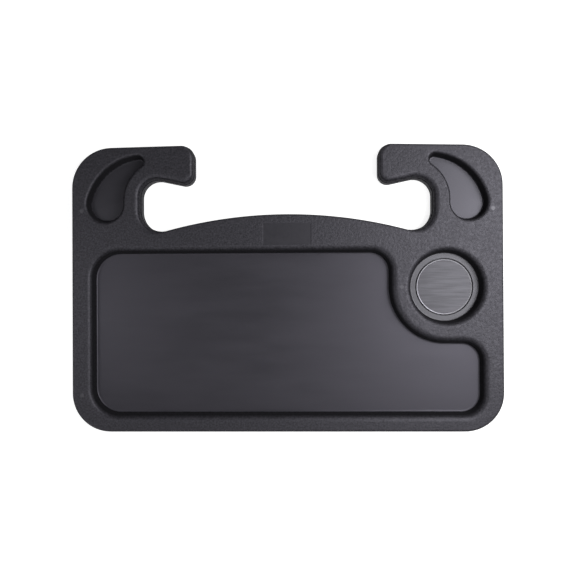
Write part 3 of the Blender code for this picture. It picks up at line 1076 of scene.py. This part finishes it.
@dataclass
class Fasteners:
    """Plugs over the screw wells, and the finish of the screws and the tape under the disc."""

    back: BackShell
    gap: float = 0.3 * MM
    plug_thickness: float = 1.4 * MM
    plug_round: float = 0.3 * MM
    round_steps: int = 4
    sides: int = 48

    def plug_profile(self) -> Profile:
        """Outline that a plug is turned from.

        Returns:
            Radius and height of each ring, from its outer face to its inner one.
        """
        radius = self.back.well_radius - self.gap
        rings = [(radius - 2 * self.plug_round, self.gap)]
        for step in range(self.round_steps + 1):
            angle = QUARTER * step / self.round_steps
            rings.append((radius - self.plug_round * (1 - math.sin(angle)),
                          self.gap + self.plug_round * (1 - math.cos(angle))))
        rings.append((radius, self.gap + self.plug_thickness))
        return rings

    def build_plugs(self, material: bpy.types.Material) -> None:
        """Build and dress a plug for every screw well.

        Args:
            material: The finish of the plugs.
        """
        for name, spot in self.back.front.screw_places().items():
            bm = bmesh.new()
            Loft(bm).turn(spot.x, spot.y, self.plug_profile(), self.sides)
            piece = finish_piece(bm, f"plug_{name}_fine", [material])
            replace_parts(piece, f"plug_{name}")

    def dress_hidden(self, zinc: bpy.types.Material, foam: bpy.types.Material) -> None:
        """Give the screws and the tape, which stay as the model has them, their finishes.

        Args:
            zinc: The finish of the screws.
            foam: The finish of the tape.
        """
        for name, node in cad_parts.items():
            if name.startswith("screw_"):
                dress(node, zinc)
        dress(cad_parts["disc_tape"], foam)


def dress(piece: bpy.types.Object, material: bpy.types.Material) -> None:
    """Give a kept CAD node a finish.

    Args:
        piece: The node's object.
        material: The finish.
    """
    if not piece.material_slots:
        piece.data.materials.append(material)
    for slot in piece.material_slots:
        slot.material = material
    log.info("%s: %s", piece.name, material.name)


class Sketch:
    """Node tree of one finish, with short ways to add and join its nodes."""

    def __init__(self, name: str, gloss: Color = (1, 1, 1), specular: float = 0.5) -> None:
        """Start a material whose nodes read the row frame.

        Args:
            name: Name of the material.
            gloss: Tint of its reflections.
            specular: Strength of its reflections, a half for plain plastic.
        """
        self.material = bpy.data.materials.new(name)
        self.material.use_nodes = True
        self.tree = self.material.node_tree
        self.shader = self.tree.nodes["Principled BSDF"]
        self.shader.inputs["Specular Tint"].default_value = (*gloss, 1)
        self.shader.inputs["Specular IOR Level"].default_value = specular
        self.place = self.node("ShaderNodeTexCoord", {}).outputs["Object"]

    def node(self, kind: str, inputs: dict, **settings: object) -> bpy.types.Node:
        """Add a node.

        Args:
            kind: Blender's name for the node.
            inputs: A value or a socket for each input, by its name or index.
            settings: Properties of the node.

        Returns:
            The new node.
        """
        node = self.tree.nodes.new(kind)
        for name, value in settings.items():
            setattr(node, name, value)
        for name, value in inputs.items():
            if isinstance(value, Socket):
                self.tree.links.new(value, node.inputs[name])
            else:
                node.inputs[name].default_value = value
        return node

    def math(self, operation: str, first: Value, second: Value = 0.0) -> Socket:
        """Add a sum on two values or sockets and return its result."""
        return self.node("ShaderNodeMath", {0: first, 1: second}, operation=operation).outputs[0]

    def spread(self, value: Value, low: float, high: float, to_low: float,
               to_high: float) -> Socket:
        """Map a value from one range to another, clamped.

        Args:
            value: The value or socket.
            low: Start of its range.
            high: End of its range.
            to_low: Result at the start.
            to_high: Result at the end.

        Returns:
            The mapped value.
        """
        inputs = {"Value": value, "From Min": low, "From Max": high,
                  "To Min": to_low, "To Max": to_high}
        return self.node("ShaderNodeMapRange", inputs).outputs["Result"]

    def sway(self, noise: Socket, middle: float, reach: float) -> Socket:
        """Turn noise into a value that strays as far as the reach to each side of the middle."""
        return self.spread(noise, NOISE_LOW, NOISE_HIGH, middle - reach, middle + reach)

    def noise(self, size: float, detail: float = 2.0, stretch: Triple = (1, 1, 1),
              distortion: float = 0.0) -> Socket:
        """Add noise on the row frame.

        Args:
            size: Size of one blot in metres.
            detail: Octaves of finer noise.
            stretch: How many times longer a blot is along each axis.
            distortion: How much the blots are warped.

        Returns:
            The noise, from 0 to 1 about a half.
        """
        scale = [1 / (size * share) for share in stretch]
        mapping = self.node("ShaderNodeMapping", {"Vector": self.place, "Scale": scale})
        inputs = {"Vector": mapping.outputs["Vector"], "Scale": 1.0,
                  "Detail": detail, "Distortion": distortion}
        return self.node("ShaderNodeTexNoise", inputs).outputs["Fac"]

    def scatter(self, value: Socket, reach: float) -> Socket:
        """Turn a value into a shift of up to half the reach along each axis."""
        shift = self.math("MULTIPLY", self.math("SUBTRACT", value, 0.5), reach)
        return self.node("ShaderNodeCombineXYZ", dict.fromkeys("XYZ", shift)).outputs["Vector"]

    def blend(self, first: Color | Socket, second: Color | Socket, amount: Value) -> Socket:
        """Blend two linear colours or sockets.

        Args:
            first: Colour where the amount is 0.
            second: Colour where it is 1.
            amount: Value or socket from 0 to 1.

        Returns:
            The blended colour.
        """
        mix = self.node("ShaderNodeMix", {"Factor": amount}, data_type="RGBA")
        for slot, color in ((mix.inputs[MIX_FIRST], first), (mix.inputs[MIX_SECOND], second)):
            if isinstance(color, Socket):
                self.tree.links.new(color, slot)
            else:
                slot.default_value = (*color, 1)
        return mix.outputs[MIX_RESULT]

    def shade(self, color: Color, amount: Value) -> Socket:
        """Colour at a strength: black at 0, as it is at a half, twice as light at 1."""
        return self.blend((0, 0, 0), tuple(2 * part for part in color), amount)

    def paint(self, color: Socket) -> None:
        """Set the base colour from a socket."""
        self.tree.links.new(color, self.shader.inputs["Base Color"])

    def rough(self, amount: Socket) -> None:
        """Set the roughness from a socket."""
        self.tree.links.new(amount, self.shader.inputs["Roughness"])

    def relief(self, height: Socket, depth: float) -> None:
        """Bump the surface by a height from 0 to 1 times a depth in metres."""
        bump = self.node("ShaderNodeBump", {"Height": height, "Distance": depth, "Strength": 1.0})
        self.tree.links.new(bump.outputs["Normal"], self.shader.inputs["Normal"])


@dataclass(frozen=True)
class Patch:
    """Rectangle of the face that the mould leaves without grain."""

    left: float
    right: float
    bottom: float
    top: float
    border: float = 0.6 * MM

    def mask(self, sketch: Sketch) -> Socket:
        """Tell the inside of the rectangle from the outside.

        Args:
            sketch: Node tree of the finish.

        Returns:
            A socket that is 1 inside and 0 outside.
        """
        place = sketch.node("ShaderNodeSeparateXYZ", {"Vector": sketch.place})
        inside = []
        for axis, low, high in (("X", self.left, self.right), ("Y", self.bottom, self.top)):
            aside = sketch.math("SUBTRACT", place.outputs[axis], (low + high) / 2)
            off = sketch.math("ABSOLUTE", aside)
            half = (high - low) / 2
            inside.append(sketch.spread(off, half - self.border, half + self.border, 1, 0))
        return sketch.math("MULTIPLY", *inside)


@dataclass(frozen=True)
class WallShade:
    """How a pocket's wall grows rougher on the way down, under painted shade that darkens its
    colour towards the floor.

    Attributes:
        top: Height where it begins.
        bottom: Height where it is complete.
        shade: What is left of the colour there under the painted shade.
        roughness: What is added to the roughness there.
    """

    top: float
    bottom: float
    shade: float = 0.12
    roughness: float = 0.45

    def mask(self, sketch: Sketch) -> Socket:
        """Socket that is 0 at the top of the wall and 1 at its bottom."""
        height = sketch.node("ShaderNodeSeparateXYZ", {"Vector": sketch.place}).outputs["Z"]
        return sketch.spread(height, self.bottom, self.top, 1, 0)


@dataclass(frozen=True)
class MouldGrain:
    """Fine leather-like grain of the moulded faces, with the sink marks over the screw bosses
    painted lighter as sheen.

    Attributes:
        sheen: How far the roughness strays.
        cell: Size of one pebble of the grain.
        flank: Width of a pebble's flank, in cells.
        warp: Size of the warping that makes pebbles uneven, in cells.
        warp_reach: How far it shifts them, in cells.
        swell: Size of the low swells under the pebbles, in cells.
        swell_height: Height of a swell, in steps of the relief.
        speck: Size of a lighter or darker speck, in cells.
        speckle: How far the specks stray from the colour.
        marks: Place and strength of the painted sheen on each sink mark that a screw boss leaves.
        mark_core: Share of a mark's radius that has its full strength.
        patch: Rectangle without grain.
        patch_speck: Strength of the colour there, a half as it is.
    """

    name: str
    color: Color
    gloss: Color = (0.90, 0.88, 1.0)
    specular: float = 0.5
    roughness: float = 0.5
    sheen: float = 0.06
    cell: float = 1.2 * MM
    flank: float = 0.28
    warp: float = 3.0
    warp_reach: float = 0.8
    swell: float = 2.2
    swell_height: float = 2.4
    speck: float = 1.4
    speckle: float = 0.30
    relief: float = 0.10 * MM
    wall_shade: WallShade | None = None
    marks: Marks = ()
    mark_radius: float = 2.4 * MM
    mark_core: float = 0.6
    mark_color: Color = (0.12, 0.117, 0.128)
    patch: Patch | None = None
    patch_speck: float = 0.40

    def pebbles(self, sketch: Sketch) -> Socket:
        """Lay out the pebbles of the grain.

        Args:
            sketch: Node tree of the finish.

        Returns:
            Their height, from 0 in the grooves to a half on top.
        """
        shift = sketch.scatter(sketch.noise(self.warp * self.cell), self.warp_reach * self.cell)
        place = sketch.node("ShaderNodeVectorMath", {0: sketch.place, 1: shift}, operation="ADD")
        inputs = {"Vector": place.outputs[0], "Scale": 1 / self.cell}
        edge = sketch.node("ShaderNodeTexVoronoi", inputs, feature="DISTANCE_TO_EDGE")
        return sketch.spread(edge.outputs["Distance"], 0, self.flank, 0, 0.5)

    def marked(self, sketch: Sketch, paint: Socket) -> Socket:
        """Paint the sink marks of the screw bosses into the colour as lighter spots of sheen.

        Args:
            sketch: Node tree of the finish.
            paint: The colour without marks.

        Returns:
            The colour with them.
        """
        for spot, strength in self.marks:
            distance = sketch.node("ShaderNodeVectorMath", {0: sketch.place, 1: spot},
                                   operation="DISTANCE").outputs["Value"]
            core = self.mark_core * self.mark_radius
            sheen_spot = sketch.spread(distance, core, self.mark_radius, strength, 0)
            paint = sketch.blend(paint, self.mark_color, sheen_spot)
        return paint

    def material(self) -> bpy.types.Material:
        """Build the finish.

        Returns:
            The material.
        """
        sketch = Sketch(self.name, self.gloss, self.specular)
        pebble = self.pebbles(sketch)
        swell = sketch.noise(self.swell * self.cell, 1)
        height = sketch.math("ADD", pebble, sketch.math("MULTIPLY", swell, self.swell_height))
        speck = sketch.sway(sketch.noise(self.speck * self.cell, 1), 0.5, self.speckle)
        rough = sketch.sway(swell, self.roughness, self.sheen)
        if self.patch:
            grained = sketch.math("SUBTRACT", 1, self.patch.mask(sketch))
            height = sketch.math("MULTIPLY", height, grained)
            stray = sketch.math("SUBTRACT", speck, self.patch_speck)
            speck = sketch.math("ADD", sketch.math("MULTIPLY", stray, grained), self.patch_speck)
        # painted shade: the colour darkens down a pocket's wall while the roughness grows
        if self.wall_shade:
            deep = self.wall_shade.mask(sketch)
            painted_shade = sketch.spread(deep, 0, 1, 1, self.wall_shade.shade)
            speck = sketch.math("MULTIPLY", speck, painted_shade)
            added = sketch.math("MULTIPLY", deep, self.wall_shade.roughness)
            rough = sketch.math("ADD", rough, added)
        sketch.paint(self.marked(sketch, sketch.shade(self.color, speck)))
        sketch.rough(rough)
        sketch.relief(height, self.relief)
        return sketch.material


@dataclass(frozen=True)
class SatinMoulding:
    """Smooth moulded plastic with a barely uneven sheen, as on the recess floors.

    Attributes:
        cloud: Width of a lighter or darker cloud in the sheen.
        cloud_length: How many times longer it is along X.
        cloud_warp: How much the clouds are warped.
        cloud_depth: How far they stray from the colour.
        grain: Size of the fine specks.
        grain_depth: How far the specks stray from the colour.
        sheen: How far the roughness strays.
    """

    name: str
    color: Color
    roughness: float = 0.45
    specular: float = 0.5
    gloss: Color = (0.87, 0.84, 1.0)
    cloud: float = 14 * MM
    cloud_length: float = 5.0
    cloud_detail: float = 3.0
    cloud_warp: float = 0.3
    cloud_depth: float = 0.07
    grain: float = 0.5 * MM
    grain_depth: float = 0.05
    sheen: float = 0.03
    relief: float = 0.004 * MM

    def material(self) -> bpy.types.Material:
        """Build the finish.

        Returns:
            The material.
        """
        sketch = Sketch(self.name, self.gloss, self.specular)
        stretch = (self.cloud_length, 1, 1)
        clouds = sketch.noise(self.cloud, self.cloud_detail, stretch, self.cloud_warp)
        specks = sketch.noise(self.grain)
        shade = sketch.math("ADD", sketch.sway(clouds, 0, self.cloud_depth),
                            sketch.sway(specks, 0.5, self.grain_depth))
        sketch.paint(sketch.shade(self.color, shade))
        sketch.rough(sketch.sway(clouds, self.roughness, self.sheen))
        sketch.relief(specks, self.relief)
        return sketch.material


@dataclass(frozen=True)
class BrushedDisc:
    """Satin disc with faint straight brush marks along X.

    Attributes:
        streak: Width of a fine mark.
        length: How many times longer than wide it is.
        broad: How many times wider the broad marks are.
        depth: How far the marks stray from the colour.
        low: Value of the mixed noise where a mark is darkest.
        high: Value of the mixed noise where it is lightest.
        sheen: How far the roughness strays.
    """

    name: str
    color: Color
    roughness: float = 0.4
    specular: float = 0.5
    gloss: Color = (0.92, 0.91, 1.0)
    streak: float = 0.5 * MM
    length: float = 60.0
    broad: float = 5.0
    depth: float = 0.25
    low: float = 0.35
    high: float = 0.65
    sheen: float = 0.05
    relief: float = 0.012 * MM

    def material(self) -> bpy.types.Material:
        """Build the finish.

        Returns:
            The material.
        """
        sketch = Sketch(self.name, self.gloss, self.specular)
        fine = sketch.noise(self.streak, stretch=(self.length, 1, 1))
        broad = sketch.noise(self.broad * self.streak, stretch=(self.length / self.broad, 1, 1))
        both = sketch.math("MULTIPLY", sketch.math("ADD", fine, broad), 0.5)
        shade = sketch.spread(both, self.low, self.high, 0.5 - self.depth, 0.5 + self.depth)
        sketch.paint(sketch.shade(self.color, shade))
        sketch.rough(sketch.spread(both, self.low, self.high,
                                   self.roughness + self.sheen, self.roughness - self.sheen))
        sketch.relief(fine, self.relief)
        return sketch.material


@dataclass(frozen=True)
class ZincPlate:
    """Bright zinc plate of the screws, with a cloudy chromate film."""

    name: str
    color: Color = (0.52, 0.53, 0.56)
    strength: float = 0.49
    roughness: float = 0.35
    sheen: float = 0.08
    film: float = 1.2 * MM
    film_detail: float = 3.0
    film_depth: float = 0.05
    relief: float = 0.01 * MM

    def material(self) -> bpy.types.Material:
        """Build the finish.

        Returns:
            The material.
        """
        sketch = Sketch(self.name)
        sketch.shader.inputs["Metallic"].default_value = 1.0
        film = sketch.noise(self.film, self.film_detail)
        shade = sketch.sway(film, self.strength, self.film_depth)
        sketch.paint(sketch.shade(self.color, shade))
        sketch.rough(sketch.sway(film, self.roughness, self.sheen))
        sketch.relief(film, self.relief)
        return sketch.material


@dataclass(frozen=True)
class FoamTape:
    """White foam tape with open cells, darker and rougher in the middle of a cell."""

    name: str
    color: Color = (0.60, 0.60, 0.57)
    cell: float = 0.4 * MM
    reach: float = 0.8
    dark: float = 0.4
    light: float = 0.52
    roughest: float = 0.98
    smoothest: float = 0.85
    relief: float = 0.05 * MM

    def material(self) -> bpy.types.Material:
        """Build the finish.

        Returns:
            The material.
        """
        sketch = Sketch(self.name)
        inputs = {"Vector": sketch.place, "Scale": 1 / self.cell}
        cells = sketch.node("ShaderNodeTexVoronoi", inputs).outputs["Distance"]
        shade = sketch.spread(cells, 0, self.reach, self.dark, self.light)
        sketch.paint(sketch.shade(self.color, shade))
        sketch.rough(sketch.spread(cells, 0, self.reach, self.roughest, self.smoothest))
        sketch.relief(cells, self.relief)
        return sketch.material


@dataclass(frozen=True)
class PaleFloor:
    """Plain pale studio floor, lit from within so little that a shadow on it stays soft."""

    name: str = "pale_floor"
    color: Color = (0.55, 0.55, 0.55)
    blot: float = 0.3
    darkest: float = 0.49
    roughness: float = 0.9
    specular: float = 0.1
    glow: float = 0.8

    def material(self) -> bpy.types.Material:
        """Build the finish.

        Returns:
            The material.
        """
        sketch = Sketch(self.name, specular=self.specular)
        shade = sketch.spread(sketch.noise(self.blot), 0, 1, self.darkest, 0.5)
        sketch.paint(sketch.shade(self.color, shade))
        sketch.shader.inputs["Roughness"].default_value = self.roughness
        sketch.shader.inputs["Emission Color"].default_value = (1, 1, 1, 1)
        sketch.shader.inputs["Emission Strength"].default_value = self.glow
        return sketch.material


def rotation(angle: float, axis: str) -> Matrix:
    """Turn by an angle in radians about an axis."""
    return Matrix.Rotation(angle, 3, axis)


@dataclass(frozen=True)
class SoftBox:
    """Square soft light that faces the tray.

    Attributes:
        lean: How far it hangs from straight overhead, in degrees.
        bearing: Where it leans to, in degrees anticlockwise from +X.
        power: Its power in watts.
        distance: How far it is from the middle of the tray.
        size: Length of its side.
    """

    name: str
    lean: float
    bearing: float
    power: float
    distance: float = 0.6
    size: float = 0.30

    def build(self) -> None:
        """Hang the light and turn it to the tray."""
        light = bpy.data.lights.new(self.name, "AREA")
        light.shape = "SQUARE"
        light.size = self.size
        light.energy = self.power
        lamp = bpy.data.objects.new(self.name, light)
        bpy.context.scene.collection.objects.link(lamp)
        hang = rotation(math.radians(self.bearing), "Z") @ rotation(math.radians(self.lean), "Y")
        lamp.location = hang @ Vector((0, 0, self.distance))
        lamp.rotation_mode = "QUATERNION"
        lamp.rotation_quaternion = (-lamp.location).to_track_quat("-Z", "Y")
        lamp.visible_camera = False


@dataclass
class Studio:
    """Floor, soft boxes, surround and camera."""

    seam: float
    floor_size: float = 12.0
    floor_drop: float = 0.2 * MM
    camera_distance: float = 0.640
    camera_yaw: float = math.radians(1.303)
    camera_pitch: float = math.radians(-0.313)
    camera_roll: float = math.radians(-0.286)
    camera_shift: float = -1.456 * MM
    clip_start: float = 6.4 * MM
    focal_length: float = 40.86
    sensor_width: float = 36.0
    surround: float = 0.09
    backdrop: float = 0.95
    boxes: tuple[SoftBox, ...] = (
        SoftBox("right_box", lean=30, bearing=-6, power=1.8),
        SoftBox("far_right_box", lean=45, bearing=22, power=2.1),
        SoftBox("left_box", lean=40, bearing=184, power=0.52, size=0.22),
        SoftBox("front_box", lean=30, bearing=270, power=1.05, distance=1.1, size=0.40),
        SoftBox("low_front_box", lean=68, bearing=225, power=1.60, distance=1.1, size=0.40),
        SoftBox("low_back_box", lean=74, bearing=70, power=0.85, distance=1.1, size=0.40),
    )

    def build(self) -> None:
        """Set up the whole studio."""
        self.build_floor()
        for box in self.boxes:
            box.build()
        self.build_surround()
        self.build_camera()
        bpy.context.scene.view_settings.view_transform = "Standard"

    def build_floor(self) -> None:
        """Lay the floor just under the tray."""
        bm = bmesh.new()
        bmesh.ops.create_grid(bm, x_segments=1, y_segments=1, size=self.floor_size / 2,
                              matrix=Matrix.Translation((0, 0, -self.floor_drop)))
        mesh = bpy.data.meshes.new("floor")
        bm.to_mesh(mesh)
        bm.free()
        mesh.materials.append(PaleFloor().material())
        floor = bpy.data.objects.new("floor", mesh)
        bpy.context.scene.collection.objects.link(floor)

    def build_surround(self) -> None:
        """Make the room: pale where it is seen, dim as a light."""
        world = bpy.data.worlds.new("room")
        bpy.context.scene.world = world
        world.use_nodes = True
        nodes = world.node_tree.nodes
        links = world.node_tree.links
        back = nodes["Background"]
        seen = nodes.new("ShaderNodeLightPath").outputs["Is Camera Ray"]
        level = nodes.new("ShaderNodeMapRange")
        level.inputs["To Min"].default_value = self.surround
        level.inputs["To Max"].default_value = self.backdrop
        links.new(seen, level.inputs["Value"])
        links.new(level.outputs["Result"], back.inputs["Strength"])
        back.inputs["Color"].default_value = (1, 1, 1, 1)

    def build_camera(self) -> None:
        """Hold the camera where the photograph was taken from."""
        data = bpy.data.cameras.new("camera")
        data.lens = self.focal_length
        data.sensor_width = self.sensor_width
        data.clip_start = self.clip_start
        camera = bpy.data.objects.new("camera", data)
        bpy.context.scene.collection.objects.link(camera)
        turn = (rotation(self.camera_roll, "Z") @ rotation(self.camera_pitch, "X")
                @ rotation(self.camera_yaw, "Y"))
        flip = Matrix.Diagonal((1, -1, -1))
        aside = turn.transposed() @ Vector((0, 0, self.camera_distance))
        camera.rotation_mode = "QUATERNION"
        camera.rotation_quaternion = (flip @ turn @ flip).transposed().to_quaternion()
        camera.location = (-self.camera_shift - aside.x, aside.y, self.seam + aside.z)
        bpy.context.scene.camera = camera


def size_tray() -> BackShell:
    """Set up the sizes of the tray round the model's box.

    Returns:
        The back shell, which knows the front shell, the cup holder and the plan.
    """
    low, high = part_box("back_shell")
    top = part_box("front_shell")[1].z
    plan = Plan(width=high.x - low.x, length=high.y - low.y, thickness=top)
    cup_well = Pocket(depth=14 * MM, rim_fillet=5.0 * MM, foot_fillet=0.8 * MM,
                      foot_ease=0.8 * MM, floor=Zone.RING)
    recess = Pocket(depth=12 * MM, rim_fillet=6.5 * MM, foot_fillet=1.5 * MM, foot_ease=1.0 * MM)
    tear = Pocket(depth=12 * MM, rim_fillet=3.0 * MM, foot_fillet=0.8 * MM, foot_ease=1.0 * MM,
                  floor=Zone.POLISHED, side=Zone.TEAR_WALL, dull=math.radians(12))
    pen = Pocket(depth=6 * MM, rim_fillet=1.5 * MM, foot_fillet=2.0 * MM)
    return BackShell(FrontShell(plan, recess, tear, CupHolder(plan, cup_well)), pen)


def front_grain(front: FrontShell) -> MouldGrain:
    """Choose the grain of the food side, with its bare patch and the painted sheen on the sink
    marks of the bosses.

    Args:
        front: The shell, which knows where the bosses are.

    Returns:
        The finish.
    """
    spots = front.screw_places()
    marks = tuple((Vector((*spots[name], front.plan.thickness)), strength)
                  for name, strength in MARK_STRENGTHS.items())
    patch = Patch(left=-22.6 * MM, right=24.2 * MM, bottom=42.0 * MM, top=63.2 * MM)
    return MouldGrain("moulded_grain", CHARCOAL, marks=marks, patch=patch)


def main() -> None:
    """Build the tray's pieces in order, dress them and set up the studio."""
    back = size_tray()
    front = back.front
    top = front.plan.thickness
    satin = SatinMoulding("satin_floor", color=(0.0190, 0.0181, 0.0214), specular=0.54).material()
    polished = SatinMoulding("polished_floor", color=(0.0175, 0.0167, 0.0200), roughness=0.38,
                             specular=0.52, gloss=(0.89, 0.87, 1.0)).material()
    ring = SatinMoulding("cup_ring", color=(0.020, 0.0195, 0.0215), roughness=0.42,
                         specular=0.68, gloss=(0.92, 0.91, 1.0)).material()
    edge = MouldGrain("matt_edge", CHARCOAL, roughness=0.72, specular=0.14,
                      relief=0.05 * MM).material()
    # the wall finishes carry painted shade that darkens their colour down each pocket's wall, and
    # they grow rougher there
    wall = MouldGrain("matt_shaded_wall", CHARCOAL, specular=0.34,
                      wall_shade=WallShade(top=top - 1.0 * MM, bottom=top - 4.0 * MM))
    tear_wall = replace(wall, name="tear_wall",
                        wall_shade=WallShade(top=top - 0.7 * MM, bottom=top - 2.4 * MM)).material()
    grain = front_grain(front).material()
    front.build([grain, wall.material(), satin, polished, ring, edge, tear_wall])

    # the pen groove's wall carries the same painted shade, darker deeper into the groove
    back_wall = replace(wall, name="matt_wall_back",
                        wall_shade=WallShade(top=0.5 * MM, bottom=4.0 * MM)).material()
    back_grain = MouldGrain("back_grain", CHARCOAL).material()
    back.build([back_grain, back_wall, satin, polished, ring, edge])

    brushed = BrushedDisc("brushed_disc", color=(0.030, 0.029, 0.034)).material()
    # the bead's light grey colour is a painted highlight on its glossy rounded crest
    bead = SatinMoulding("bead_painted_highlight", color=(0.24, 0.237, 0.252), roughness=0.33,
                         specular=0.95, cloud=3 * MM).material()
    CupInsert(front.cup).build([brushed, bead])

    fasteners = Fasteners(back)
    fasteners.build_plugs(SatinMoulding("plug_satin", CHARCOAL).material())
    fasteners.dress_hidden(ZincPlate("zinc_plate").material(),
                           FoamTape("foam_tape_white").material())
    Studio(front.seam).build()


if __name__ == "__main__":
    main()
